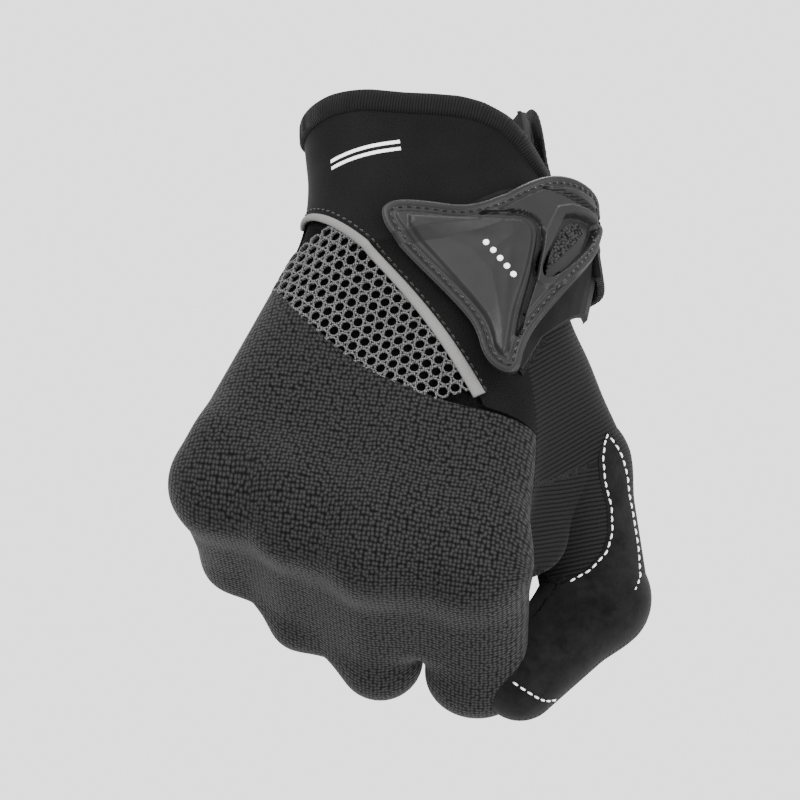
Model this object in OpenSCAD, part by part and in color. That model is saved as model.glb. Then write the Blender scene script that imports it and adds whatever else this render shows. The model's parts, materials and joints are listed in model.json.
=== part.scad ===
// Right-hand summer riding glove, closed in a fist.
// Origin: centre of the cuff's mouth. +Z runs up the forearm, -Y is the back of
// the hand and +X is the thumb side. The hand bends towards the little finger.

/* [Cuff] */
// Length of the cuff, from its mouth to the wrist
cuff_l = 42; // [38:1:48]
// Width of the cuff
cuff_w = 66; // [62:1:70]
// Depth of the cuff, back to palm
cuff_d = 46; // [42:1:50]
// Thickness of the cuff's neoprene
cuff_wall = 2.4; // [1.6:0.2:3]
// Length of the entry slit on the thumb side
slit_l = 34; // [20:1:36]

/* [Hand] */
// Sideways bend of the hand at the wrist
hand_bend = 17; // [10:1:22]
// Thickness of the hand's fabric
hand_wall = 1.4; // [1:0.1:2]
// Height of the pocket that holds the knuckle guard
guard_h = 3.6; // [3:0.1:4]
// Radius of the heel of the hand
heel_r = 17.5; // [15:0.5:19]

/* [Fingers] */
// Outer radius of each finger at its root: index, middle, ring, little
finger_r = [12, 12, 10.6, 9.5]; // [8:0.1:13]
// Index finger's three lengths, root to tip
index_l = [46, 27, 22]; // [18:1:55]
// Middle finger's three lengths
middle_l = [50, 31, 23]; // [18:1:55]
// Ring finger's three lengths
ring_l = [46, 29, 23]; // [18:1:55]
// Little finger's three lengths
little_l = [37, 21, 20]; // [18:1:55]
// Thickness of the finger fabric
finger_wall = 1; // [0.8:0.1:1.2]
// How far each finger is bent at the knuckle
root_bend = [72, 76, 78, 80]; // [60:1:85]
// How far the fingers are bent at their middle joint
middle_bend = 92; // [80:1:96]
// How far the fingers are bent at their last joint
tip_bend = 46; // [40:1:50]

/* [Thumb] */
// Thumb's three lengths, wrist to tip
thumb_l = [46.5, 36.5, 31.5]; // [28:0.5:50]
// Outer radius of the thumb's three sections
thumb_r = [14, 12.6, 11.2]; // [10:0.2:15]
// How far the thumb is bent at its middle joint and at its last joint
thumb_bend = [19, 41]; // [10:1:45]
// How far the thumb swings out at its root
thumb_swing = 25; // [15:1:28]

/* [Strap] */
// Thickness of the moulded rubber tab
tab_t = 2.4; // [2:0.1:3]
// Height of the tab's raised centre
tab_rise = 1.4; // [1:0.1:2]

/* [Hidden] */
$fn = 48;

big = 130;                  // larger than the hand
slip = 0.4;                 // running gap between sections that nest
gap = 0.2;                  // each side of a mitred finger crease
step = slip + finger_wall;  // each finger section is this much thinner than the last
side_h = 4;                 // half height of the strips between the fingers
visor_max = 62;             // largest angle that a knuckle's rounded hood covers
visor_over = 4;             // overlap of the hood with the section above

// Knuckles in the hand's own frame: x to the thumb, y to the palm, z to the wrist
knuckle = [[26.5, 0, -92], [1.5, -2, -93], [-21.5, 0, -87], [-42, 3, -78]];
finger_l = [index_l, middle_l, ring_l, little_l];
bend = [for (i = [0:3]) [root_bend[i], middle_bend, tip_bend]];
// Planes half way between neighbouring fingers
slab = [big, 14, -10.7, -32.3, -big];

thumb_root = [22, 9, -16];      // where the thumb turns on the wrist
thumb_aim = [-44, -14, 110];    // direction of the thumb's first section
thumb_ball_r = 19;              // outer radius of the thumb's rounded root
thumb_cone_r = 16.5;            // radius of the first section where it leaves the ball
thumb_cone_start = 14;
heel = [-18, 2, -24];           // heel of the hand, little-finger side

hand_in = slip;                 // inside of the hand's fabric, beyond the fingers' radius
hand_out = slip + hand_wall;    // outside of the hand's fabric

// The seam under the piping and the mesh crescent's lower edge, as arcs
seam_c = [-124, -163];
seam_r = 183.8;
crescent_c = [26, 28];
crescent_r = 84;

// Tab outline, left tip first: x and z seen from the back of the hand
tab_outline = [[-14, -43], [3, -48], [20, -41], [33, -37], [52, -40], [52, -63],
               [40, -70], [25, -82], [18.5, -92], [14, -87], [14, -78]];
tab_raised = [[-4, -48], [8, -51], [24, -45], [33, -48], [30, -60], [19, -83], [15, -76]];
tab_window = [[32, -44], [44, -43], [44, -62], [31, -66]];
hinge_y = 0.5;                  // the strap bends here when it is peeled back
strap_bulge = [34, -2, -50];    // the strap stands off the wrist on the thumb side
strap_bulge_r = 8;
pad_t = 0.8;                    // thickness of the hook pad and of the loop pad
web_t = 1;                      // thickness of the strap's webbing
hook_lo = hand_out + pad_t + slip;
web_lo = hook_lo + pad_t;
tab_lo = web_lo + web_t;

function visor(b) = min(b + visor_over, visor_max);
function lap(b, r) = r * tan(b + visor_over - visor(b));

// ---------- Places ----------

module hand_frame() translate([0, 0, -cuff_l]) rotate([0, hand_bend, 0]) children();

// Section k of finger i: its joint at the origin, the section along -z
module at_finger(i, k) {
    hand_frame() translate(knuckle[i]) rotate([bend[i][0], 0, 0]) {
        if (k == 0) children();
        if (k == 1) past(finger_l[i][0], bend[i][1]) children();
        if (k == 2) past(finger_l[i][0], bend[i][1]) past(finger_l[i][1], bend[i][2]) children();
    }
}

module at_thumb(k, swing = 0) {
    hand_frame() translate(thumb_root) rotate([0, 0, -swing]) rotate(thumb_aim) {
        if (k == 0) children();
        if (k == 1) past(thumb_l[0], thumb_bend[0]) children();
        if (k == 2) past(thumb_l[0], thumb_bend[0]) past(thumb_l[1], thumb_bend[1]) children();
    }
}

module past(l, angle) translate([0, 0, -l]) rotate([angle, 0, 0]) children();

// ---------- Half spaces ----------

module below(tilt = 0, off = 0)
    rotate([tilt, 0, 0]) translate([-big, -big, -2 * big + off]) cube(2 * big);
module above(tilt = 0, off = 0)
    rotate([tilt, 0, 0]) translate([-big, -big, off]) cube(2 * big);
module dorsal(off = 0) translate([-big, -2 * big + off, -big]) cube(2 * big);
module palmar(off = 0) translate([-big, off, -big]) cube(2 * big);

// ---------- Finger sections ----------

module section_solid(r, l, tip) {
    translate([0, 0, -l]) cylinder(r = r, h = l + (tip ? 0 : 0.01));
    if (tip) translate([0, 0, -l]) sphere(r);
}

module section_shell(r, l, tip, wall) {
    difference() {
        section_solid(r, l, tip);
        translate([0, 0, tip ? 0.01 : -1]) section_solid(r - wall, tip ? l + 0.01 : l - 3, tip);
        translate([0, 0, -l + (tip ? 0 : -1)]) cylinder(r = r - wall, h = l + 3);
    }
}

// Rounded hood that closes the back of the knuckle while the finger is bent
module hood(r, b, wall) {
    intersection() {
        difference() {
            sphere(r);
            sphere(r - wall);
        }
        above();
        below(-visor(b));
    }
}

module back_half(r, l, b, next_b, tip, wall, top = 0) {
    over = tip ? 0 : lap(next_b, r - wall);
    intersection() {
        section_shell(r, l + over, tip, wall);
        dorsal(top);
        below();
    }
    hood(r, b, wall);
}

module front_half(r, l, b, next_b, tip, wall, low = 0) {
    intersection() {
        section_shell(r, l, tip, wall);
        palmar(low);
        below(-b / 2, -gap);
        if (tip) palmar(); else translate([0, 0, -l]) above(next_b / 2, gap);
    }
}

// The two side strips of a finger's first section
module side_strips(r, l, b, next_b, wall) {
    intersection() {
        section_shell(r, l, false, wall);
        translate([-big, -side_h, -big]) cube([2 * big, 2 * side_h, 2 * big]);
        union() {
            intersection() {
                dorsal();
                below();
                translate([0, 0, -l]) above();
            }
            intersection() {
                palmar();
                below(-b / 2, -gap);
                translate([0, 0, -l]) above(next_b / 2, gap);
            }
        }
    }
}

module finger_back(i, k) {
    at_finger(i, k)
        back_half(finger_r[i] - k * step, finger_l[i][k], bend[i][k], k < 2 ? bend[i][k + 1] : 0,
                  k == 2, finger_wall, k == 0 ? -side_h : 0);
}

module finger_front(i, k) {
    at_finger(i, k)
        front_half(finger_r[i] - k * step, finger_l[i][k], bend[i][k], k < 2 ? bend[i][k + 1] : 0,
                   k == 2, finger_wall, k == 0 ? side_h : 0);
}

module finger_sides(i) {
    at_finger(i, 0) side_strips(finger_r[i], finger_l[i][0], bend[i][0], bend[i][1], finger_wall);
}

// ---------- Thumb ----------

module thumb_root_solid(grow) {
    translate([0, 0, -thumb_l[0]])
        cylinder(r1 = thumb_r[0] + grow, r2 = thumb_cone_r + grow, h = thumb_l[0] - thumb_cone_start);
}

module thumb_root_shell() {
    difference() {
        thumb_root_solid(0);
        thumb_root_solid(-finger_wall);
        translate([0, 0, -thumb_l[0] - 1]) cylinder(r = thumb_r[0] - finger_wall, h = 3);
        translate([0, 0, -thumb_cone_start - 2]) cylinder(r = thumb_cone_r - finger_wall, h = 3);
    }
}

// Hollow ball sector that turns inside the hand and closes the gap beside the thumb
module thumb_root_hood() {
    color("#202123") difference() {
        hand_frame() translate(thumb_root) intersection() {
            difference() {
                sphere(thumb_ball_r);
                sphere(thumb_ball_r - finger_wall);
            }
            translate([5, -big, -big]) cube([big, 2 * big, big - 4]);
        }
        at_thumb(0) thumb_root_solid(gap);
    }
}

module thumb_back(k) {
    at_thumb(k)
        if (k == 0) intersection() {
            thumb_root_shell();
            dorsal();
        }
        else back_half(thumb_r[k], thumb_l[k], thumb_bend[k - 1], k == 1 ? thumb_bend[1] : 0, k == 2,
                       finger_wall);
}

module thumb_front(k) {
    at_thumb(k)
        if (k == 0) intersection() {
            thumb_root_shell();
            palmar();
            translate([0, 0, -thumb_l[0]]) above(thumb_bend[0] / 2, gap);
        }
        else front_half(thumb_r[k], thumb_l[k], thumb_bend[k - 1], k == 1 ? thumb_bend[1] : 0, k == 2,
                        finger_wall);
}

// ---------- Hand ----------

module oval(grow = 0) {
    w = cuff_w + 2 * grow;
    d = cuff_d + 2 * grow;
    for (side = [-1, 1]) translate([side * (w - d) / 2, 0]) circle(r = d / 2, $fn = 64);
    square([w - d, d], center = true);
}

// Outer form of the hand, grown by g beyond the fingers' own radius
module hand_solid(g) {
    hull() {
        hand_frame() {
            for (i = [0:3]) translate(knuckle[i]) {
                translate([0, 0, -8]) sphere(finger_r[i] + g, $fn = 24);
                translate([0, -guard_h, 6]) sphere(finger_r[i] + g, $fn = 24);
            }
            translate(thumb_root) sphere(thumb_ball_r + g, $fn = 24);
            translate(heel) sphere(heel_r + g, $fn = 24);
        }
        translate([0, 0, -cuff_l]) linear_extrude(0.5) oval(g - hand_out);
    }
}

// What is cut from the hand so that each finger can bend and straighten
module past_knuckles() {
    hand_frame() for (i = [0:3])
        intersection() {
            translate([slab[i + 1], -big, -2 * big]) cube([slab[i] - slab[i + 1], 2 * big, 2 * big]);
            translate(knuckle[i]) union() {
                intersection() {
                    dorsal();
                    below(0, -lap(bend[i][0], finger_r[i]));
                }
                intersection() {
                    palmar(-0.01);
                    below(bend[i][0] / 2, gap);
                }
            }
        }
}

module thumb_port() {
    for (a = [0:thumb_swing / 4:thumb_swing]) at_thumb(0, a) thumb_root_solid(slip + 0.1);
}

module hand_shell(lo, hi) {
    difference() {
        hand_solid(hi);
        hand_solid(lo);
        above(0, -cuff_l - gap / 2);
        past_knuckles();
        thumb_port();
    }
}

module seam_disc(r) hand_frame() translate([seam_c[0], 0, seam_c[1]])
    rotate([90, 0, 0]) cylinder(r = r, h = big, $fn = 96);
module crescent_disc() hand_frame() translate([crescent_c[0], 0, crescent_c[1]])
    rotate([90, 0, 0]) cylinder(r = crescent_r, h = big, $fn = 96);

module back_hand_panel() {
    color("#2b2c2e") difference() {
        intersection() {
            hand_shell(hand_in, hand_out);
            dorsal();
        }
        crescent_disc();
    }
}

module flex_mesh_panel() {
    color("#7c7d80") intersection() {
        hand_shell(hand_in, hand_out);
        dorsal();
        crescent_disc();
        seam_disc(seam_r);
    }
}

module reflective_piping() {
    piping_w = 2.6;
    color("#b9babc") intersection() {
        hand_shell(hand_out, hand_out + 0.9);
        dorsal();
        difference() {
            seam_disc(seam_r + piping_w / 2);
            seam_disc(seam_r - piping_w / 2);
        }
        hand_frame() translate([-big, -big, -60]) cube([big + 26, big, big]);
    }
}

module palm_panel() {
    color("#1c1c1e") intersection() {
        hand_shell(hand_in, hand_out);
        palmar();
    }
}

// Second layer of suede over the heel of the hand
module palm_patch() {
    color("#161617") intersection() {
        hand_shell(hand_out, hand_out + 0.9);
        hand_frame() translate([-38, 6, -44]) cube([42, 40, 34]);
    }
}

module knuckle_row(low, high) {
    intersection() {
        difference() {
            hand_solid(high);
            hand_solid(low);
            hand_frame() for (i = [0:3]) translate(knuckle[i] + [0, 0, -20])
                cylinder(r = finger_r[i] + slip, h = 60);
        }
        hand_frame() difference() {
            for (i = [0:3]) translate(knuckle[i] + [-finger_r[i] + 1.5, -30, -3])
                cube([2 * finger_r[i] - 3, 26, 22]);
            translate([-big, -9, -big]) cube(2 * big);
        }
    }
}

module knuckle_guard() {
    color("#3a3b3d") knuckle_row(hand_in - 2, hand_in - 0.2);
}

module knuckle_foam() {
    color("#5a5b5e") knuckle_row(hand_in - 3.4, hand_in - 2);
}

// ---------- Cuff ----------

module cuff_wall_tube() {
    hem = 0.8;
    translate([0, 0, -cuff_l]) linear_extrude(cuff_l - hem) difference() {
        oval();
        oval(-cuff_wall);
    }
}

module entry_slit() translate([0, -0.6, -slit_l]) cube([big, 1.2, slit_l + 1]);

module cuff_back_panel() {
    color("#232426") {
        difference() {
            intersection() {
                cuff_wall_tube();
                dorsal();
            }
            entry_slit();
        }
        difference() {
            intersection() {
                hand_shell(hand_in, hand_out);
                dorsal();
                crescent_disc();
            }
            seam_disc(seam_r);
        }
    }
}

module cuff_palm_panel() {
    color("#1f2022") difference() {
        intersection() {
            cuff_wall_tube();
            palmar();
        }
        entry_slit();
    }
}

// Folded tape over the edge of the mouth
module cuff_hem_binding() {
    tape = 0.8;
    hem_l = 6;
    color("#2e2f31") difference() {
        translate([0, 0, -hem_l]) linear_extrude(hem_l) difference() {
            oval(tape);
            oval(-cuff_wall - tape);
        }
        cuff_wall_tube();
        translate([0, -0.6, -hem_l - 1]) cube([big, 1.2, hem_l + 2]);
    }
}

// Stretch tongue behind the entry slit
module entry_gusset() {
    color("#17171a") intersection() {
        translate([0, 0, -slit_l - 4]) linear_extrude(slit_l - 4) difference() {
            oval(-cuff_wall);
            oval(-cuff_wall - 1);
        }
        translate([16, -9, -big]) cube([big, 18, big]);
    }
}

// ---------- Strap ----------

module tab_prism(points) rotate([90, 0, 0]) linear_extrude(big) polygon(points);

// The form that the strap follows; it stands off the wrist on the thumb side
module strap_solid(g) {
    hull() {
        hand_solid(g);
        translate([0, 0, -cuff_l]) linear_extrude(12) oval(g - hand_out);
        translate(strap_bulge) sphere(strap_bulge_r + g - hand_out, $fn = 24);
    }
}

module strap_layer(lo, hi) {
    difference() {
        strap_solid(hi);
        strap_solid(lo);
    }
}

module inset_prism(points, x_lo, x_hi) {
    intersection() {
        tab_prism(points);
        translate([x_lo, -big, -big]) cube([x_hi - x_lo, big, 2 * big]);
    }
}

module loop_pad() {
    color("#202124") intersection() {
        difference() {
            hand_solid(hand_out + pad_t);
            hand_solid(hand_out);
        }
        inset_prism(tab_outline, -9, 26);
        below(0, -cuff_l - 3);
    }
}

module hook_pad() {
    color("#141416") intersection() {
        strap_layer(hook_lo, web_lo);
        tab_prism([[-8, -46], [8, -50], [14, -70]]);
    }
}

module strap_web() {
    color("#1b1b1d") intersection() {
        strap_layer(web_lo, tab_lo);
        inset_prism(tab_outline, -12, 60);
    }
}

module strap_cover() {
    color("#4a4b4d") difference() {
        union() {
            intersection() {
                strap_layer(tab_lo, tab_lo + tab_t);
                tab_prism(tab_outline);
            }
            intersection() {
                strap_layer(tab_lo, tab_lo + tab_t + tab_rise);
                tab_prism(tab_raised);
            }
        }
        tab_prism(tab_window);
    }
}

module strap_grip_inset() {
    color("#5d5e61") intersection() {
        strap_layer(tab_lo, tab_lo + tab_t / 2);
        tab_prism(tab_window);
    }
}

// Webbing that holds the strap to the palm side of the wrist
module strap_anchor() {
    color("#1b1b1d") intersection() {
        strap_layer(web_lo, tab_lo);
        translate([0, 2 * hinge_y, -62]) cube([60, 16, 18]);
    }
}

// Suede patch on the outer side of the thumb's middle section
module thumb_patch() {
    color("#1a1a1c") at_thumb(1) intersection() {
        difference() {
            section_solid(thumb_r[1] + 0.8, thumb_l[1], false);
            translate([0, 0, 1]) section_solid(thumb_r[1], thumb_l[1] + 2, false);
        }
        translate([-big, -big, -thumb_l[1] + 6]) cube([2 * big, big + 4, thumb_l[1] - 14]);
        rotate([0, 0, 35]) dorsal();
    }
}

// ---------- Finger and thumb nodes ----------

module index_root_back() color("#2b2c2e") finger_back(0, 0);
module index_root_front() color("#1c1c1e") finger_front(0, 0);
module index_root_sides() color("#141415") finger_sides(0);
module index_middle_back() color("#2b2c2e") finger_back(0, 1);
module index_middle_front() color("#1c1c1e") finger_front(0, 1);
module index_tip_back() color("#2b2c2e") finger_back(0, 2);
module index_tip_front() color("#1c1c1e") finger_front(0, 2);

module middle_root_back() color("#2b2c2e") finger_back(1, 0);
module middle_root_front() color("#1c1c1e") finger_front(1, 0);
module middle_root_sides() color("#141415") finger_sides(1);
module middle_middle_back() color("#2b2c2e") finger_back(1, 1);
module middle_middle_front() color("#1c1c1e") finger_front(1, 1);
module middle_tip_back() color("#2b2c2e") finger_back(1, 2);
module middle_tip_front() color("#1c1c1e") finger_front(1, 2);

module ring_root_back() color("#2b2c2e") finger_back(2, 0);
module ring_root_front() color("#1c1c1e") finger_front(2, 0);
module ring_root_sides() color("#141415") finger_sides(2);
module ring_middle_back() color("#2b2c2e") finger_back(2, 1);
module ring_middle_front() color("#1c1c1e") finger_front(2, 1);
module ring_tip_back() color("#2b2c2e") finger_back(2, 2);
module ring_tip_front() color("#1c1c1e") finger_front(2, 2);

module little_root_back() color("#2b2c2e") finger_back(3, 0);
module little_root_front() color("#1c1c1e") finger_front(3, 0);
module little_root_sides() color("#141415") finger_sides(3);
module little_middle_back() color("#2b2c2e") finger_back(3, 1);
module little_middle_front() color("#1c1c1e") finger_front(3, 1);
module little_tip_back() color("#2b2c2e") finger_back(3, 2);
module little_tip_front() color("#1c1c1e") finger_front(3, 2);

module thumb_root_back() color("#252628") thumb_back(0);
module thumb_root_front() color("#1c1c1e") thumb_front(0);
module thumb_middle_back() color("#252628") thumb_back(1);
module thumb_middle_front() color("#1c1c1e") thumb_front(1);
module thumb_tip_back() color("#252628") thumb_back(2);
module thumb_tip_front() color("#1c1c1e") thumb_front(2);

back_hand_panel();
flex_mesh_panel();
reflective_piping();
palm_panel();
palm_patch();
knuckle_guard();
knuckle_foam();
cuff_back_panel();
cuff_palm_panel();
cuff_hem_binding();
entry_gusset();
loop_pad();
strap_anchor();
strap_web();
hook_pad();
strap_cover();
strap_grip_inset();
index_root_back();
index_root_front();
index_root_sides();
index_middle_back();
index_middle_front();
index_tip_back();
index_tip_front();
middle_root_back();
middle_root_front();
middle_root_sides();
middle_middle_back();
middle_middle_front();
middle_tip_back();
middle_tip_front();
ring_root_back();
ring_root_front();
ring_root_sides();
ring_middle_back();
ring_middle_front();
ring_tip_back();
ring_tip_front();
little_root_back();
little_root_front();
little_root_sides();
little_middle_back();
little_middle_front();
little_tip_back();
little_tip_front();
thumb_root_back();
thumb_root_front();
thumb_middle_back();
thumb_middle_front();
thumb_tip_back();
thumb_tip_front();
thumb_patch();
thumb_root_hood();
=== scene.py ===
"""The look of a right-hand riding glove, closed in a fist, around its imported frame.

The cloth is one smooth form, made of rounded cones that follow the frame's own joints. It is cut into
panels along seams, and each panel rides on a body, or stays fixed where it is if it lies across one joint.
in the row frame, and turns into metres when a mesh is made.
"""

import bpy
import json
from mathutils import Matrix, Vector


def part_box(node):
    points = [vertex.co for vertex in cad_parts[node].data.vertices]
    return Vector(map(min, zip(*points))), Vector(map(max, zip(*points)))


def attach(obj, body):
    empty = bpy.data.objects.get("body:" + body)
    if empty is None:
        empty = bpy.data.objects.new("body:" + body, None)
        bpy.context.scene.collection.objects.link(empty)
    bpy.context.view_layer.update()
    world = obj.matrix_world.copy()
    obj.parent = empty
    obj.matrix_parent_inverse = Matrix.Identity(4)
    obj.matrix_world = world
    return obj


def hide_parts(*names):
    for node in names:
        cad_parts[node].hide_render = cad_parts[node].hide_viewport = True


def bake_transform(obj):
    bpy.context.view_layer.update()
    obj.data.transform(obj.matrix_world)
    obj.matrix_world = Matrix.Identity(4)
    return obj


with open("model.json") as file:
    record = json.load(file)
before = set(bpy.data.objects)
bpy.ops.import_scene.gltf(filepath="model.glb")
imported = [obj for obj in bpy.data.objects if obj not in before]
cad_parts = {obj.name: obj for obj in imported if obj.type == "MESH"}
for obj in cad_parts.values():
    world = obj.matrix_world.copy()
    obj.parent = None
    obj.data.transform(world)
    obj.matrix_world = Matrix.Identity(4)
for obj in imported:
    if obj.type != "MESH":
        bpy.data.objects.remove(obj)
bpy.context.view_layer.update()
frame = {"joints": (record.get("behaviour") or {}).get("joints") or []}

import json
import math

import bpy
import numpy as np
from mathutils import Matrix, Vector

MM = 0.001
JOINTS = {j["name"]: j for j in frame["joints"]}
FINGERS = ["index", "middle", "ring", "little"]
FINGER_R = {"index": 12.0, "middle": 12.0, "ring": 10.6, "little": 9.5}
TIP_LENGTH = {"index": 22.0, "middle": 23.0, "ring": 23.0, "little": 20.0, "thumb": 31.5}
THUMB_SHIFT = 3.6        # millimetres: the thumb lies close to the fist
THUMB_HOOK = 13.0        # degrees: the thumb's pad curls further in than its last joint
CLOTH = 1.1              # thickness of a cloth panel
CELL = 1.25


# ---------- The skeleton, from the frame ----------

def joint_at(name):
    return np.array(JOINTS[name]["pos_m"]) * 1000


def unit(v):
    v = np.asarray(v, float)
    return v / np.linalg.norm(v)


def turned(v, axis, degrees):
    """v turned about axis by the right-hand rule."""
    a, n = math.radians(degrees), unit(axis)
    return v * math.cos(a) + np.cross(n, v) * math.sin(a) + n * (v @ n) * (1 - math.cos(a))


def node_box(node):
    low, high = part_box(node)
    return np.array(low) * 1000, np.array(high) * 1000


RADIAL = -unit(JOINTS["index_knuckle"]["axis"])      # palm frame: x, to the thumb
PALMWARD = np.array([0.0, 1.0, 0.0])                 # palm frame: y, to the palm
PROXIMAL = np.cross(RADIAL, PALMWARD)                # palm frame: z, to the wrist
PALM_AXES = np.array([RADIAL, PALMWARD, PROXIMAL])
CUFF_LOW = node_box("cuff_palm_panel")[0][2]
WRIST = np.array([0.0, 0.0, CUFF_LOW])
CUFF_SIZE = node_box("cuff_palm_panel")[1] - node_box("cuff_palm_panel")[0]
CUFF_HALF_W = CUFF_SIZE[0] / 2
CUFF_R = CUFF_SIZE[1]                                # the cuff's ends are half rounds of this radius


def to_palm(p):
    return (np.asarray(p, float) - WRIST) @ PALM_AXES.T


def from_palm(q):
    return np.asarray(q, float) @ PALM_AXES + WRIST


def chain(name):
    """Joints of a finger or the thumb, with its tip's centre last."""
    first = "thumb_swing" if name == "thumb" else name + "_knuckle"
    points = [joint_at(first), joint_at(name + "_middle_joint"), joint_at(name + "_tip_joint")]
    axis = -unit(JOINTS[name + "_tip_joint"]["axis"])
    bend = JOINTS[name + "_tip_joint"]["range_deg"][1]
    last = turned(unit(points[2] - points[1]), axis, bend + (THUMB_HOOK if name == "thumb" else 0))
    return points + [points[2] + last * TIP_LENGTH[name]]


CHAINS = {name: chain(name) for name in FINGERS + ["thumb"]}
KNUCKLE_X = [to_palm(CHAINS[f][0])[0] for f in FINGERS]
# Planes between neighbouring fingers, half way between their sides
SLABS = [400.0] + [
    (KNUCKLE_X[i] - FINGER_R[FINGERS[i]] + KNUCKLE_X[i + 1] + FINGER_R[FINGERS[i + 1]]) / 2
    for i in range(3)
] + [-400.0]


# ---------- The form ----------

def cone(p, a, b, ra, rb):
    """Distance from p to a rounded cone from a to b."""
    a, ab = np.asarray(a, np.float32), np.asarray(b - a, np.float32)
    q = p - a
    t = np.clip(q @ ab / (ab @ ab), 0, 1)
    q = q - t[:, None] * ab
    return np.sqrt((q * q).sum(1)) - (ra + (rb - ra) * t)


def join(a, b, k):
    """Smooth minimum: two forms joined with a fillet of size k."""
    h = np.maximum(k - np.abs(a - b), 0) / k
    return np.minimum(a, b) - h * h * k / 4


METACARPAL_X = [13.0, 4.0, -5.0, -13.0]              # where the hand's rays start at the wrist
KNUCKLE_LIFT = 2.2                                   # the guard lifts the cloth over the knuckles
SECTION_R = [(0.2, -1.9), (-1.7, -2.4), (-2.2, -3.3)]  # change from the finger's radius, by section


def ray(i):
    """One ray of the hand, from the wrist to a knuckle."""
    start = from_palm([METACARPAL_X[i], 0, 2])
    return start, CHAINS[FINGERS[i]][0] - PALMWARD * KNUCKLE_LIFT, 20.5, FINGER_R[FINGERS[i]] + 2.6


def sections(name):
    """The cones of a finger or the thumb."""
    points = CHAINS[name]
    if name == "thumb":
        radii = [(19.0, 16.0), (15.6, 14.6), (14.2, 11.0)]
    else:
        radii = [(FINGER_R[name] + a, FINGER_R[name] + b) for a, b in SECTION_R]
    shift = -RADIAL * (THUMB_SHIFT if name == "thumb" else 0)
    return [(points[k] + shift, points[k + 1] + shift, *radii[k]) for k in range(3)]


def cuff_distance(p):
    x = np.maximum(np.abs(p[:, 0]) - (CUFF_HALF_W - CUFF_R), 0)
    around = np.sqrt(x * x + p[:, 1] ** 2) - CUFF_R
    below = CUFF_LOW - 8 - p[:, 2]
    return np.maximum(around, below)


HEEL = from_palm([-18, 2, -26])
GUARD = [from_palm([x, y, z]) for x, y, z in ((30, -9, -84), (2, -12, -86), (-24, -10, -80), (-43, -6, -70))]


def hand_distance(p):
    d = cuff_distance(p)
    rays = None
    for i in range(4):
        c = cone(p, *ray(i))
        rays = c if rays is None else join(rays, c, 9)
    rays = join(rays, cone(p, HEEL, CHAINS["little"][0], 17.5, 12.5), 12)
    for i in range(3):
        rays = join(rays, cone(p, GUARD[i], GUARD[i + 1], 7.0, 7.0), 8)
    return join(d, rays, 9)


WEB = [from_palm([30, 10, -34]), from_palm([37, 22, -72])]


def gradient(field, p, step=0.25):
    g = np.zeros_like(p)
    for k in range(3):
        e = np.zeros(3)
        e[k] = step
        g[:, k] = field(p + e) - field(p - e)
    return g / np.maximum(np.linalg.norm(g, axis=1), 1e-9)[:, None]


def settle(p, field, rounds):
    """Moves points onto a form's face."""
    for _ in range(rounds):
        p = p - field(p)[:, None] * gradient(field, p)
    return p


# ---------- From form to mesh ----------

def surface(field, low, high, cell):
    """Quads through the cells that the face crosses, one vertex a cell."""
    axes = [np.arange(low[k], high[k] + cell, cell) for k in range(3)]
    shape = [len(a) for a in axes]
    values = np.empty(shape, np.float32)
    for i, x in enumerate(axes[0]):
        y, z = np.meshgrid(axes[1], axes[2], indexing="ij")
        p = np.stack([np.full(y.size, x), y.ravel(), z.ravel()], 1)
        values[i] = field(p).reshape(y.shape)
    inside = values < 0
    corners = [(i, j, k) for i in (0, 1) for j in (0, 1) for k in (0, 1)]
    n = [s - 1 for s in shape]

    def shifted(a, c):
        return a[c[0]:c[0] + n[0], c[1]:c[1] + n[1], c[2]:c[2] + n[2]]

    count = sum(shifted(inside, c).astype(int) for c in corners)
    mixed = (count > 0) & (count < 8)
    number = np.full(n, -1, int)
    number[mixed] = np.arange(mixed.sum())
    where = np.argwhere(mixed)
    total, weight = np.zeros((len(where), 3)), np.zeros(len(where))
    for a in corners:
        for k in range(3):
            if a[k]:
                continue
            b = tuple(a[m] + (m == k) for m in range(3))
            va, vb = shifted(values, a)[mixed], shifted(values, b)[mixed]
            cross = (va < 0) != (vb < 0)
            t = np.where(cross, va / np.where(cross, va - vb, 1), 0)
            point = where + np.array(a) + t[:, None] * (np.array(b) - np.array(a))
            total += point * cross[:, None]
            weight += cross
    verts = np.array([a[0] for a in axes]) + cell * total / weight[:, None]
    quads = []
    for k in range(3):
        u, v = (k + 1) % 3, (k + 2) % 3
        lo = [slice(1, n[m]) for m in range(3)]
        lo[k] = slice(0, n[k])
        hi = list(lo)
        hi[k] = slice(1, n[k] + 1)
        a, b = inside[tuple(lo)], inside[tuple(hi)]
        at = np.argwhere(a != b) + np.array([0 if m == k else 1 for m in range(3)])
        flip = a[a != b]

        def cell_at(du, dv):
            q = at.copy()
            q[:, u] -= du
            q[:, v] -= dv
            return number[q[:, 0], q[:, 1], q[:, 2]]

        ring = np.stack([cell_at(0, 0), cell_at(1, 0), cell_at(1, 1), cell_at(0, 1)], 1)
        ring[~flip] = ring[~flip][:, ::-1]
        quads.append(ring)
    return verts, np.concatenate(quads)


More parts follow.
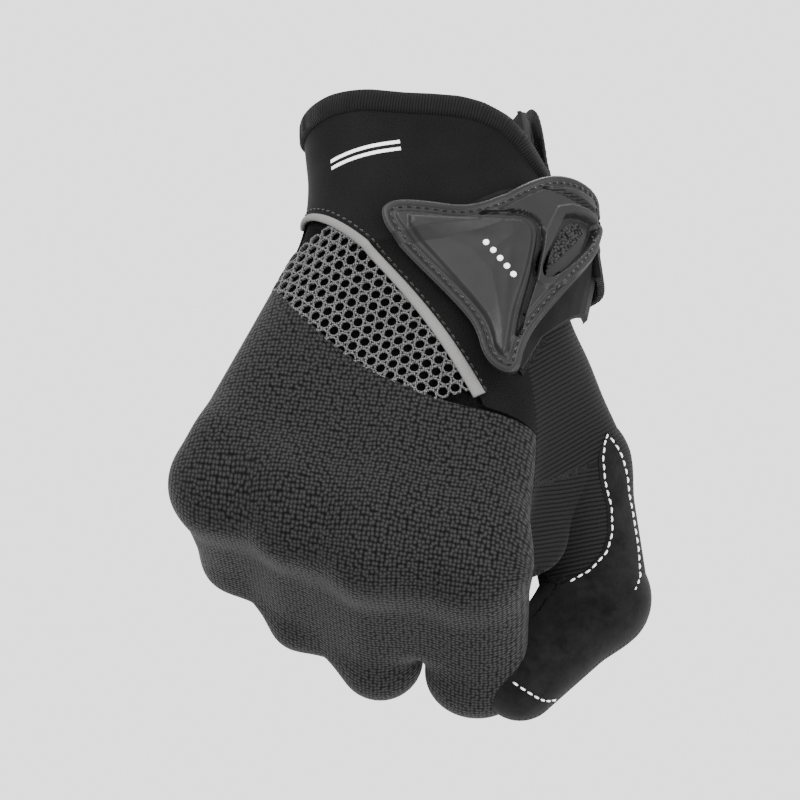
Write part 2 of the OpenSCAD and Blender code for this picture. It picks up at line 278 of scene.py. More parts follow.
class Cloth:
    """A triangle mesh with values at its vertices, which can be cut along a value's zero."""

    def __init__(self, verts, tris, data):
        self.verts, self.tris, self.data = verts, tris, data

    def compact(self):
        used, tris = np.unique(self.tris, return_inverse=True)
        return Cloth(self.verts[used], tris.reshape(-1, 3), {k: v[used] for k, v in self.data.items()})

    def keep(self, values):
        """The part of the cloth where values is above zero, cut cleanly."""
        values = np.where(np.abs(values) < 1e-6, 1e-6, values)
        up = values > 0
        count = up[self.tris].sum(1)
        whole = self.tris[count == 3]
        cut = self.tris[(count == 1) | (count == 2)]
        if not len(cut):
            return Cloth(self.verts, whole, self.data).compact()
        edges = np.sort(cut[:, [0, 1, 1, 2, 2, 0]].reshape(-1, 2), axis=1)
        edges = np.unique(edges[up[edges[:, 0]] != up[edges[:, 1]]], axis=0)
        a, b = edges[:, 0], edges[:, 1]
        t = values[a] / (values[a] - values[b])

        def between(v):
            w = t.reshape([-1] + [1] * (v.ndim - 1))
            return np.concatenate([v, v[a] * (1 - w) + v[b] * w])

        fresh = {(int(p), int(q)): len(self.verts) + i for i, (p, q) in enumerate(edges)}
        extra = []
        for tri in cut:
            loop = []
            for m in range(3):
                p, q = int(tri[m]), int(tri[(m + 1) % 3])
                if up[p]:
                    loop.append(p)
                if up[p] != up[q]:
                    loop.append(fresh[(min(p, q), max(p, q))])
            extra += [[loop[0], loop[m], loop[m + 1]] for m in range(1, len(loop) - 1)]
        tris = np.concatenate([whole, np.array(extra, int).reshape(-1, 3)])
        data = {k: between(v) for k, v in self.data.items()}
        return Cloth(between(self.verts), tris, data).compact()

    def border(self):
        """Edges with one triangle, in the triangles' own direction."""
        e = self.tris[:, [0, 1, 1, 2, 2, 0]].reshape(-1, 2)
        key = np.sort(e, axis=1)
        _, inverse, count = np.unique(key, axis=0, return_inverse=True, return_counts=True)
        return e[count[inverse.ravel()] == 1]


def make_object(name, verts, faces, material, normals=None, uv=None, smooth=True):
    """A mesh object in metres. normals and uv are per vertex of each face, face after face."""
    mesh = bpy.data.meshes.new(name)
    mesh.from_pydata((np.asarray(verts) * MM).tolist(), [], [list(map(int, f)) for f in faces])
    mesh.validate()
    mesh.polygons.foreach_set("use_smooth", [smooth] * len(mesh.polygons))
    if uv is not None:
        layer = mesh.attributes.new("weave", "FLOAT_VECTOR", "POINT")
        layer.data.foreach_set("vector", np.asarray(uv, np.float32).ravel())
    mesh.update()
    if normals is not None and len(normals) == len(mesh.loops):
        mesh.normals_split_custom_set(np.asarray(normals, np.float32))
    obj = bpy.data.objects.new(name, mesh)
    bpy.context.scene.collection.objects.link(obj)
    mesh.materials.append(material)
    return obj


def panel(name, cloth, material, thickness=CLOTH, lift=0.0):
    """A closed sheet with the cloth's outer face, and a rim round its border."""
    normal = cloth.data["normal"]
    outer = cloth.verts + normal * lift
    inner = outer - normal * thickness
    n = len(outer)
    border = cloth.border()
    rim = np.stack([border[:, 1], border[:, 0], border[:, 0] + n, border[:, 1] + n], 1)
    verts = np.concatenate([outer, inner])
    faces = list(cloth.tris) + list(cloth.tris[:, ::-1] + n) + list(rim)
    a, b, c = verts[rim[:, 0]], verts[rim[:, 1]], verts[rim[:, 2]]
    flat = np.cross(b - a, c - b)
    flat /= np.maximum(np.linalg.norm(flat, axis=1), 1e-9)[:, None]
    normals = np.concatenate([normal[cloth.tris].reshape(-1, 3),
                              -normal[cloth.tris[:, ::-1]].reshape(-1, 3),
                              np.repeat(flat, 4, axis=0)])
    weave = np.concatenate([cloth.data["weave"]] * 2)
    return make_object(name, verts, faces, material, normals, weave)


# ---------- Materials ----------

class Nodes:
    """A short way to write a material's node tree."""

    def __init__(self, name, colour, roughness, **sockets):
        self.material = bpy.data.materials.new(name)
        self.material.use_nodes = True
        self.tree = self.material.node_tree
        self.shader = self.tree.nodes["Principled BSDF"]
        self.shader.inputs["Base Color"].default_value = (*colour, 1)
        self.shader.inputs["Roughness"].default_value = roughness
        self.shader.inputs["Specular IOR Level"].default_value = 0.03
        for socket, value in sockets.items():
            self.shader.inputs[socket.replace("_", " ")].default_value = value

    def add(self, kind, settings=(), **inputs):
        node = self.tree.nodes.new("ShaderNode" + kind)
        for key, value in settings:
            setattr(node, key, value)
        for key, value in inputs.items():
            numbered = key[0] == "i" and key[1:].isdigit()
            socket = node.inputs[int(key[1:]) if numbered else key.replace("_", " ")]
            if hasattr(value, "is_output"):
                self.tree.links.new(value, socket)
            else:
                socket.default_value = value
        return node.outputs

    def weave(self, u, s, w=1.0):
        """Cloth coordinates, in units of u and s millimetres."""
        at = self.add("Attribute", [("attribute_name", "weave")])["Vector"]
        return self.add("VectorMath", [("operation", "MULTIPLY")], i0=at, i1=(1 / u, 1 / s, 1 / w))["Vector"]

    def place(self, pitch):
        at = self.add("TexCoord")["Object"]
        return self.add("VectorMath", [("operation", "SCALE")], i0=at, Scale=1 / (pitch * MM))["Vector"]

    def noise(self, where, detail=3.0, roughness=0.6, scale=1.0):
        return self.add("TexNoise", Vector=where, Scale=scale, Detail=detail, Roughness=roughness)[0]

    def cells(self, where, uneven):
        """Distance to the middle of a flat cell, for loops of yarn."""
        flat = [("voronoi_dimensions", "2D")]
        return self.add("TexVoronoi", flat, Vector=where, Scale=1.0, Randomness=uneven)["Distance"]

    def maths(self, operation, a, b=0.0):
        return self.add("Math", [("operation", operation)], i0=a, i1=b)[0]

    def ramp(self, value, *stops):
        """Colours by value: stops are (position, colour)."""
        outputs = self.add("ValToRGB", Fac=value)
        ramp = self.tree.nodes[-1].color_ramp
        while len(ramp.elements) < len(stops):
            ramp.elements.new(0.5)
        for element, (position, colour) in zip(ramp.elements, stops):
            element.position = position
            element.color = (*colour, 1)
        return outputs[0]

    def colour(self, value):
        self.tree.links.new(value, self.shader.inputs["Base Color"])

    def rough(self, value):
        self.tree.links.new(value, self.shader.inputs["Roughness"])

    def bump(self, height, distance, strength=1.0):
        """Adds a bump over the ones before."""
        node = self.tree.nodes.new("ShaderNodeBump")
        node.inputs["Distance"].default_value = distance * MM
        node.inputs["Strength"].default_value = strength
        self.tree.links.new(height, node.inputs["Height"])
        socket = self.shader.inputs["Normal"]
        if socket.is_linked:
            self.tree.links.new(socket.links[0].from_socket, node.inputs["Normal"])
        self.tree.links.new(node.outputs[0], socket)


def grey(value, warm=0.0):
    return (value * (1 + warm), value, value * (1 - warm * 0.6))


def knit_mesh(name, dark, light, row, column):
    """Pebbled knit in rows. The colour is painted lighter in each loop's middle as a painted highlight, and
    darker in the pits between loops, partly the knit's own open pits and partly painted shade.
    """
    m = Nodes(name, grey(light), 0.62, Sheen_Weight=0.04, Sheen_Roughness=0.4)
    at = m.weave(column, row, 2.5)
    cells = m.cells(at, 0.4)
    fuzz = m.noise(m.place(0.5), 2.0)
    loops = m.maths("SUBTRACT", cells, m.maths("MULTIPLY", m.maths("SUBTRACT", fuzz, 0.5), 0.35))
    # painted highlight and painted shade: the colour follows the loops' bump, light in their middles and dark
    # in the pits between them
    m.colour(m.ramp(loops, (0.1, grey(light)), (0.36, grey((light + dark) * 0.45)), (0.62, grey(dark))))
    m.bump(m.maths("SUBTRACT", 1.0, loops), 0.45, 0.9)
    return m.material


def ribbed(name, dark, light, pitch):
    """Stretch cloth with fine ribs across it."""
    m = Nodes(name, grey(light), 0.7, Sheen_Weight=0.03, Sheen_Roughness=0.4)
    at = m.weave(6.0, pitch, 6.0)
    drift = m.add("TexNoise", Vector=m.place(9.0), Scale=1.0)["Color"]
    drift = m.add("VectorMath", [("operation", "SCALE")], i0=drift, Scale=0.5)["Vector"]
    bent = m.add("VectorMath", [("operation", "ADD")], i0=at, i1=drift)["Vector"]
    y = m.add("SeparateXYZ", Vector=bent)["Y"]
    wave = m.maths("ABSOLUTE", m.maths("SINE", m.maths("MULTIPLY", y, math.pi)))
    fuzz = m.noise(m.place(0.6), 2.0)
    height = m.maths("ADD", wave, m.maths("MULTIPLY", fuzz, 0.5))
    m.colour(m.ramp(height, (0.25, grey(dark)), (1.2, grey(light))))
    m.bump(height, 0.28, 0.85)
    return m.material


def fine_knit(name, dark, light, sheen):
    """Neoprene with a fine jersey face."""
    m = Nodes(name, grey(light), 0.66, Sheen_Weight=sheen, Sheen_Roughness=0.35)
    at = m.weave(0.55, 0.5, 0.55)
    cells = m.cells(at, 0.5)
    cloud = m.noise(m.place(22.0), 3.0)
    m.colour(m.ramp(m.maths("ADD", m.maths("MULTIPLY", cells, 0.6), m.maths("MULTIPLY", cloud, 0.5)),
                    (0.2, grey(light, 0.02)), (0.75, grey(dark, 0.02))))
    m.bump(m.maths("SUBTRACT", 1.0, cells), 0.1, 0.6)
    m.bump(m.noise(m.place(7.0), 2.0), 0.35, 0.25)
    return m.material


def nap(name, dark, light, grain=0.8):
    """Suede: short matt fibres, brushed into pale and dark patches."""
    m = Nodes(name, grey(light), 0.88, Sheen_Weight=0.05, Sheen_Roughness=0.5)
    brushed = m.noise(m.place(6.0), 5.0, 0.7)
    m.colour(m.ramp(brushed, (0.3, grey(dark)), (0.7, grey(light))))
    m.bump(m.noise(m.place(grain), 3.0), 0.18, 0.6)
    m.bump(brushed, 0.3, 0.3)
    return m.material


def moulded(name, dark, light, roughness, grain):
    """Rubber or plastic with a fine matt grain and worn, paler patches."""
    m = Nodes(name, grey(light), roughness, Specular_IOR_Level=0.16)
    worn = m.noise(m.place(11.0), 4.0)
    m.colour(m.ramp(worn, (0.3, grey(dark)), (0.75, grey(light))))
    m.rough(m.maths("ADD", m.maths("MULTIPLY", m.noise(m.place(3.0), 4.0), 0.2), roughness - 0.1))
    m.bump(m.noise(m.place(grain), 2.0), 0.05, 0.7)
    return m.material


def threads(name, dark, light):
    """Twisted thread, or cord."""
    m = Nodes(name, grey(light), 0.7, Sheen_Weight=0.2)
    fibre = m.noise(m.place(0.35), 3.0)
    m.colour(m.ramp(fibre, (0.3, grey(dark)), (0.7, grey(light))))
    m.bump(fibre, 0.1, 0.7)
    return m.material


def open_cell(name, dark, light, pitch):
    """Foam, loop pile or hooks: small round cells."""
    m = Nodes(name, grey(light), 0.9)
    cells = m.add("TexVoronoi", Vector=m.place(pitch), Scale=1.0)["Distance"]
    m.colour(m.ramp(cells, (0.1, grey(light)), (0.8, grey(dark))))
    m.bump(cells, 0.3, 0.8)
    return m.material


MATERIAL = {
    "black_mesh": knit_mesh("black_mesh", 0.0006, 0.017, 1.15, 1.1),
    "grey_mesh": knit_mesh("grey_mesh", 0.01, 0.11, 0.5, 0.5),
    "reflective": fine_knit("reflective", 0.075, 0.11, 0.0),
    "suede": nap("suede", 0.0015, 0.006),
    "guard": moulded("guard", 0.012, 0.022, 0.5, 0.5),
    "foam": open_cell("foam", 0.012, 0.05, 0.9),
    "neoprene": fine_knit("neoprene", 0.001, 0.0045, 0.02),
    "binding": ribbed("binding", 0.001, 0.005, 0.8),
    "stretch": ribbed("stretch", 0.001, 0.007, 1.15),
    "loop": open_cell("loop", 0.003, 0.012, 0.6),
    "webbing": ribbed("webbing", 0.002, 0.007, 1.2),
    "hook": open_cell("hook", 0.003, 0.012, 1.3),
    "tab_rubber": moulded("tab_rubber", 0.004, 0.0065, 0.5, 0.35),
    "grip_rubber": open_cell("grip_rubber", 0.003, 0.03, 0.7),
}
DARK = open_cell("mesh_backing", 0.0005, 0.002, 0.8)
THREAD_DARK = threads("thread_dark", 0.001, 0.004)
THREAD_WHITE = threads("thread_white", 0.45, 0.72)
PRINT = threads("pale_print", 0.55, 0.66)


# ---------- The cloth ----------

KNUCKLE_CLOTH = 3.5      # the cloth over a knuckle lies this much further out than the finger's radius


def along(name, p):
    """Length along a finger's cloth from its knuckle, over the bends."""
    points = CHAINS[name]
    dirs = [-PROXIMAL if name != "thumb" else unit(points[1] - points[0])] + [
        unit(points[k + 1] - points[k]) for k in range(3)]
    lengths = [float(np.linalg.norm(points[k + 1] - points[k])) for k in range(3)]
    best, value, start = np.full(len(p), 1e9), np.zeros(len(p)), 0.0
    for k in range(-1, 3):
        a, d = points[max(k, 0)], dirs[k + 1]
        t = (p - a) @ d
        if k < 0:
            within, over = np.minimum(t, 0), t > 0
            bend_at, after, end = a, dirs[1], 0.0
        else:
            within, over = np.clip(t, 0, lengths[k]), (t > lengths[k]) & (k < 2)
            bend_at, after, end = points[k + 1], dirs[k + 2] if k < 2 else d, start + lengths[k]
        off = np.linalg.norm(p - a - within[:, None] * d, axis=1)
        radius = FINGER_R.get(name, 13.0) + (KNUCKLE_CLOTH if k < 0 else 0)
        bend = math.acos(np.clip(d @ after, -1, 1))
        side = after - d * (d @ after)
        outward = -side / max(np.linalg.norm(side), 1e-9)
        q = p - bend_at
        angle = np.clip(np.arctan2(q @ d, np.maximum(q @ outward, 1e-6)), 0, bend)
        closer = off < best - 1e-6
        best = np.where(closer, off, best)
        value = np.where(closer, np.where(over, end + angle * radius, start + t), value)
        start = end + bend * radius
    return value


def height(name, p):
    """How far a point is to the outer side of its finger's own centreline."""
    points = CHAINS[name]
    best, value = np.full(len(p), 1e9), np.zeros(len(p))
    across = RADIAL if name != "thumb" else -unit(JOINTS["thumb_tip_joint"]["axis"])
    for k in range(3):
        a, d = points[k], unit(points[k + 1] - points[k])
        t = np.clip((p - a) @ d, 0, np.linalg.norm(points[k + 1] - a))
        q = p - a - t[:, None] * d
        off = np.linalg.norm(q, axis=1)
        outward = unit(np.cross(d, across))
        closer = off < best
        best = np.where(closer, off, best)
        value = np.where(closer, q @ outward, value)
    return value


def faced_out(cloth):
    """The cloth with its triangles turned to face along its normals."""
    a, b, c = (cloth.verts[cloth.tris[:, k]] for k in range(3))
    if (np.cross(b - a, c - a) * cloth.data["normal"][cloth.tris[:, 0]]).sum() < 0:
        cloth.tris = cloth.tris[:, ::-1]
    return cloth


def cloth_of(field, low, high):
    """The face of a form inside a box, as triangles without slivers."""
    verts, quads = surface(field, low, high, CELL)
    verts = settle(verts, field, 3)
    tris = np.concatenate([quads[:, [0, 1, 2]], quads[:, [0, 2, 3]]])
    a, b, c = verts[tris[:, 0]], verts[tris[:, 1]], verts[tris[:, 2]]
    tris = tris[np.linalg.norm(np.cross(b - a, c - a), axis=1) > 1e-5]
    return faced_out(Cloth(verts, tris, {"normal": gradient(field, verts)}))


def palm_weave(cloth):
    q = to_palm(cloth.verts)
    cloth.data["weave"] = np.stack([q[:, 0], -q[:, 2], q[:, 1]], 1)
    return cloth


def finger_weave(cloth, name):
    s = along(name, cloth.verts)
    q = to_palm(cloth.verts)
    knuckle = -to_palm(CHAINS[name][0])[2]
    up = height(name, cloth.verts)
    if name != "thumb":
        # behind the knuckle, cloth on the hand's back is back cloth, however low the valley lies
        up = np.maximum(up, to_palm(CHAINS[name][0])[1] - q[:, 1] - 4)
    cloth.data["weave"] = np.stack([q[:, 0], s + knuckle, up], 1)
    return cloth


def root_share(name, p):
    """0 at a finger's knuckle, 1 at its middle joint."""
    a, b = CHAINS[name][0], CHAINS[name][1]
    return np.clip((p - a) @ (b - a) / ((b - a) @ (b - a)), 0, 1)


def soft_step(t):
    t = np.clip(t, 0, 1)
    return t * t * (3 - 2 * t)


def root_form(p, name):
    """A finger's first section, with a ball at its middle joint."""
    ball = np.linalg.norm(p - CHAINS[name][1], axis=1) - (FINGER_R[name] - 0.9)
    return join(cone(p, *sections(name)[0]), ball, 5)


def hand_form(p):
    """The hand and the first part of each finger."""
    p = np.asarray(p, np.float32)
    hand = hand_distance(p)
    roots = None
    for f in FINGERS:
        root = root_form(p, f)
        if roots is None:
            roots = root
        else:
            k = 0.05 + 8.0 * (1 - soft_step(root_share(f, p) / 0.95))
            roots = join(roots, root, k)
    for a, b, ra, rb in VALLEYS:
        roots = join(roots, cone(p, a, b, ra, rb), 7)
    return join(hand, roots, 6)


def valley(i):
    """Cloth stretched between two fingers, as a cone between their roots."""
    f, g = FINGERS[i], FINGERS[i + 1]
    start = (CHAINS[f][0] + CHAINS[g][0]) / 2
    end = (CHAINS[f][1] + CHAINS[g][1]) / 2
    r = (FINGER_R[f] + FINGER_R[g]) / 2
    return start, start + (end - start) * VALLEY_LENGTH[i], r - 0.4, r - 2.8


VALLEY_LENGTH = [0.62, 0.93, 0.97]     # how far down the fingers the cloth between them reaches
VALLEYS = [valley(i) for i in range(3)] + [
    (CHAINS["index"][0] + RADIAL * 4, CHAINS["index"][1] + RADIAL * 6, 11.5, 10.0),
    (CHAINS["little"][0] - RADIAL * 3 - PROXIMAL * 3, CHAINS["little"][1] - RADIAL * 0.5, 11.0, 8.4),
]
LOW, HIGH = np.array([-84, -36, -178.0]), np.array([62, 74, 8.0])
HAND_CLOTH = palm_weave(cloth_of(hand_form, LOW, HIGH))
WEDGE = 12.5        # half the length of the piece of cloth over a knuckle
KNUCKLE_HEM = 1.5   # from there to the cut between the hand's cloth and the finger's

def bisector(name):
    """The cloth's direction over a knuckle, half way through its bend."""
    out = unit(CHAINS[name][1] - CHAINS[name][0])
    return unit(unit(-PROXIMAL) + out)


def past_knuckles(p):
    """How far a point is past the slanted line where the fingers' cloth starts."""
    x = to_palm(p)[:, 0]
    knuckles = np.array([CHAINS[f][0] for f in FINGERS[::-1]])
    line = np.stack([np.interp(x, to_palm(knuckles)[:, 0], knuckles[:, k]) for k in range(3)], 1)
    return (p - line) @ unit(sum(bisector(f) for f in FINGERS))


def slab(cloth, i):
    """The cloth between two planes beside finger i."""
    part = cloth.keep(SLABS[i] - to_palm(cloth.verts)[:, 0])
    return part.keep(to_palm(part.verts)[:, 0] - SLABS[i + 1])


def zones(cloth, back, front):
    """Cuts finger cloth by height, which is the weave's third value: (back, sides, front)."""
    lower = cloth.keep(back - cloth.data["weave"][:, 2])
    h = lower.data["weave"][:, 2]
    return cloth.keep(cloth.data["weave"][:, 2] - back), lower.keep(h - front), lower.keep(front - h)


def dress(name, cloth, slot, node, body=None, blend=None, **kw):
    """Makes a panel, gives it its finish, and lets it ride on a body, or, given a blend, fixes it where it
    is.
    """
    if len(cloth.tris) < 4:
        return None
    obj = panel(name, cloth, MATERIAL[slot], **kw)
    return place(obj, slot, node, body, blend)


def place(obj, slot, node=None, body=None, blend=None):
    if node:
        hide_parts(node)
    if blend:
        a, b, start, end = blend
        tuple(np.array(start) * MM)
        tuple(np.array(end) * MM)
        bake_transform(obj)
    else:
        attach(obj, body)
    return obj


# ---------- Fingers ----------

BACK_EDGE, FRONT_EDGE = -1.0, -7.0      # heights where the back cloth and the palm cloth end


def capsule(name, k):
    """The field of a finger's or the thumb's section k, with a fuller ball at its first joint."""
    a, b, ra, rb = sections(name)[k]
    fuller = 0.2 if name == "thumb" else 0.75

    def field(p):
        p = np.asarray(p, np.float32)
        ball = np.linalg.norm(p - a, axis=1) - (ra + fuller)
        return join(cone(p, a, b, ra, rb), ball, 4)

    return field


def around(points, radius):
    points = np.array(points)
    return points.min(0) - radius, points.max(0) + radius


for i, name in enumerate(FINGERS):
    part = slab(HAND_CLOTH, i)
    part = finger_weave(part.keep(past_knuckles(part.verts) + WEDGE + KNUCKLE_HEM), name)
    k, b = CHAINS[name][0], bisector(name)
    bend = ("hand", name + "_root", k - b * WEDGE, k + b * WEDGE)
    knuckle = part.keep(WEDGE + 1 - (part.verts - k) @ b)
    rest = part.keep((part.verts - k) @ b - WEDGE - 1)
    for tag, piece, how in (("knuckle", knuckle, {"blend": bend}), ("root", rest, {"body": name + "_root"})):
        back, sides, front = zones(piece, BACK_EDGE, FRONT_EDGE)
        dress(f"{name}_{tag}_back_cloth", back, "black_mesh", name + "_root_back", **how)
        dress(f"{name}_{tag}_side_cloth", sides, "stretch", name + "_root_sides", **how)
        dress(f"{name}_{tag}_palm_cloth", front, "suede", name + "_root_front", **how)
    for k, section in ((1, "middle"), (2, "tip")):
        a, b, ra, rb = sections(name)[k]
        low, high = around([a, b], ra + 3)
        tube = finger_weave(cloth_of(capsule(name, k), low, high), name)
        back, sides, front = zones(tube, BACK_EDGE, FRONT_EDGE + 1)
        body = f"{name}_{section}"
        dress(f"{body}_back_cloth", back, "black_mesh", body + "_back", body)
        dress(f"{body}_side_cloth", sides, "stretch", body + "_front", body)
        dress(f"{body}_palm_cloth", front, "suede", body + "_front", body)
    # stretch cloth under the finger's root, which shows where the panels part
    a, b, ra, rb = sections(name)[0]
    low, high = around([a, b], ra + 2)
    lining = cloth_of(lambda p: cone(np.asarray(p, np.float32), a, b, ra - 1.4, rb - 0.9), low, high)
    dress(f"{name}_fourchette", finger_weave(lining, name), "stretch", name + "_root_sides", name + "_root",
          thickness=0.6)


# ---------- The back of the hand, the palm and the cuff ----------

SEAM, SEAM_R = np.array([-124.0, -163.0]), 183.8          # the piping's arc, in the palm frame's x and z
CRESCENT, CRESCENT_R = np.array([26.0, 28.0]), 84.0       # the lower edge of the open mesh
SEAM_END_Z = -55.0
SIDE_Y = -1.0                                             # the back's edge against the palm
PALM_TOP = CUFF_LOW - 4                                   # the cuff's edge on the palm side
NEOPRENE = 2.2                                            # thickness of the cuff


RIM_X = [-33, -24, -14, -4, 3, 9.5, 16, 22, 26, 29, 33]
RIM_DROP = [5.6, 6.6, 8.8, 11.4, 12.8, 14.4, 16.6, 19.6, 23.2, 28.0, 34.0]


def rim(p):
    """Height of the cuff's mouth, which drops towards the thumb on its back side."""
    x, y = p[:, 0], p[:, 1]
    back = 1 - soft_step((y + 4) / 14)
    drop = np.interp(x, RIM_X, RIM_DROP)
    return -(3.0 * (1 - back) + drop * back)


def seam_side(p):
    """Above zero on the fingers' side of the piping."""
    q = to_palm(p)
    arc = SEAM_R - np.hypot(q[:, 0] - SEAM[0], q[:, 2] - SEAM[1])
    return np.maximum(arc, SEAM_END_Z - q[:, 2])


def crescent_side(p):
    """Above zero inside the open mesh's lower edge."""
    q = to_palm(p)
    return CRESCENT_R - np.hypot(q[:, 0] - CRESCENT[0], q[:, 2] - CRESCENT[1])


def keep(cloth, field):
    return cloth.keep(field(cloth.verts))


HAND = keep(HAND_CLOTH, lambda p: -(past_knuckles(p) + WEDGE + KNUCKLE_HEM))
HAND = keep(HAND, lambda p: rim(p) - p[:, 2])
BACK = keep(HAND, lambda p: SIDE_Y - p[:, 1])
PALM = keep(HAND, lambda p: p[:, 1] - SIDE_Y)
FLEX = keep(keep(BACK, seam_side), crescent_side)
KNIT = keep(keep(BACK, seam_side), lambda p: -crescent_side(p))
dress("back_of_hand", KNIT, "black_mesh", "back_hand_panel", "hand")
CUFF_BACK = keep(BACK, lambda p: -seam_side(p))
dress("cuff_back", CUFF_BACK, "neoprene", "cuff_back_panel", "hand", thickness=NEOPRENE)
CUFF_PALM = keep(PALM, lambda p: p[:, 2] - PALM_TOP)
dress("cuff_palm", CUFF_PALM, "neoprene", "cuff_palm_panel", "hand", thickness=NEOPRENE)
dress("palm", keep(PALM, lambda p: PALM_TOP - p[:, 2]), "suede", "palm_panel", "hand")

# the open mesh: a dark lining, and a net with real holes over it
place(panel("open_mesh_lining", FLEX, DARK, 0.5, lift=-1.1), "grey_mesh", "flex_mesh_panel", "hand")


def pressed(p):
    """Points moved towards the palm until they meet the back of the hand."""
    for _ in range(40):
        p = p + PALMWARD * np.clip(hand_form(p), -2, 20)[:, None] * 0.8
    return p


def dorsal(x, z):
    """Points on the back of the hand, by the palm frame's x and z."""
    return pressed(from_palm(np.stack([x, np.full(len(x), -60.0), z], 1)))


# ---------- Piping, net, binding and stitches ----------

def resample(points, pitch):
    """Points at even steps along a line, with the line's ends kept."""
    points = np.asarray(points, float)
    step = np.linalg.norm(np.diff(points, axis=0), axis=1)
    s = np.concatenate([[0], np.cumsum(step)])
    n = max(2, int(round(s[-1] / pitch)) + 1)
    t = np.linspace(0, s[-1], n)
    return np.stack([np.interp(t, s, points[:, k]) for k in range(points.shape[1])], 1)


def smooth_line(points, rounds=2):
    """A polyline with its corners cut."""
    points = np.asarray(points, float)
    for _ in range(rounds):
        a, b = points[:-1], points[1:]
        inner = np.stack([a * 0.75 + b * 0.25, a * 0.25 + b * 0.75], 1).reshape(-1, points.shape[1])
        points = np.concatenate([points[:1], inner[1:-1], points[-1:]])
    return points


def sweep(name, line, normals, profile, material, ends=True):
    """A closed section moved along a line: profile(i, n) gives its (sideways, outward) points."""
    line = np.asarray(line)
    n = len(line)
    tangent = np.gradient(line, axis=0)
    tangent /= np.linalg.norm(tangent, axis=1)[:, None]
    side = np.cross(normals, tangent)
    side /= np.linalg.norm(side, axis=1)[:, None]
    out = np.cross(tangent, side)
    verts, faces = [], []
    for i in range(n):
        section = np.asarray(profile(i, n))
        m = len(section)
        verts.append(line[i] + section[:, :1] * side[i] + section[:, 1:2] * out[i])
        if i:
            a = (i - 1) * m
            faces += [(a + j, a + (j + 1) % m, a + m + (j + 1) % m, a + m + j) for j in range(m)]
    if ends:
        faces += [tuple(range(m - 1, -1, -1)), tuple((n - 1) * m + j for j in range(m))]
    verts = np.concatenate(verts)
    s = np.concatenate([[0], np.cumsum(np.linalg.norm(np.diff(line, axis=0), axis=1))])
    weave = np.stack([np.tile(np.arange(m) * 1.0, n), np.repeat(s, m), np.zeros(n * m)], 1)
    return make_object(name, verts, faces, material, uv=weave)


def round_section(half_width, half_height, lift=0.0, count=12):
    a = np.arange(count) * 2 * math.pi / count
    return np.stack([-half_width * np.cos(a), half_height * np.sin(a) + lift], 1)


def stitches(name, line, normals, length, gap, radius, material, body, slot, node, lift=0.25):
    """A row of short threads, each sunk at its ends."""
    line = resample(np.concatenate([line, normals], 1), 0.4)
    line, normals = line[:, :3], line[:, 3:]
    step = np.linalg.norm(np.diff(line, axis=0), axis=1).mean()
    each, pitch = max(3, int(length / step)), max(4, int((length + gap) / step))
    verts, faces, base = [], [], 0
    for start in range(0, len(line) - each, pitch):
        part = line[start:start + each + 1]
        up = normals[start:start + each + 1]
        t = np.linspace(0, math.pi, len(part))
        centre = part + up * (lift * np.sin(t) ** 0.5 - 0.1)[:, None]
        along_ = np.gradient(centre, axis=0)
        along_ /= np.linalg.norm(along_, axis=1)[:, None]
        side = np.cross(up, along_)
        side /= np.linalg.norm(side, axis=1)[:, None]
        r = radius * (0.55 + 0.45 * np.sin(t) ** 0.5)
        for i in range(len(part)):
            for j in range(6):
                a = j * math.pi / 3
                across = math.cos(a) * side[i] + math.sin(a) * np.cross(along_[i], side[i])
                verts.append(centre[i] + r[i] * across)
            if i:
                a = base + (i - 1) * 6
                faces += [(a + j, a + (j + 1) % 6, a + 6 + (j + 1) % 6, a + 6 + j) for j in range(6)]
        last = base + (len(part) - 1) * 6
        faces += [tuple(base + 5 - j for j in range(6)), tuple(last + j for j in range(6))]
        base = last + 6
    obj = make_object(name, verts, faces, material)
    return place(obj, slot, node, body)


def seam_line(x0, x1, count=90):
    x = np.linspace(x0, x1, count)
    z = SEAM[1] + np.sqrt(SEAM_R ** 2 - (x - SEAM[0]) ** 2)
    return x, z


def hand_normal(p):
    return gradient(hand_form, p)


PIPING_END = 22.6
BACK_X0 = to_palm(FLEX.verts)[:, 0].min() + 0.3


def seam_points(lift):
    """The piping's line on the back, moved towards the cuff by lift, as far round as the back goes."""
    x, z = seam_line(BACK_X0, PIPING_END, 400)
    out = np.stack([x - SEAM[0], z - SEAM[1]], 1) / SEAM_R
    p = dorsal(x + out[:, 0] * lift, z + out[:, 1] * lift)
    on = (np.abs(hand_form(p)) < 0.2) & (p[:, 1] < SIDE_Y - 0.5)
    return settle(resample(p[on], 0.8), hand_form, 2)


def piping_section(i, n):
    """The piping widens towards the thumb."""
    return round_section(0.95 + 0.85 * i / n, 0.8, 0.25)


line = seam_points(0.0)
piping = sweep("reflective_piping_cord", line, hand_normal(line), piping_section, MATERIAL["reflective"])
place(piping, "reflective", "reflective_piping", "hand")
line = seam_points(2.3)
stitches("piping_stitches", line, hand_normal(line), 1.7, 0.9, 0.22, THREAD_DARK, "hand", "binding", None)

PITCH, HOLE = 3.4, 1.28          # the net: from hole to hole, and a hole's radius
NET_TURN = math.radians(28)      # its rows lean towards the piping


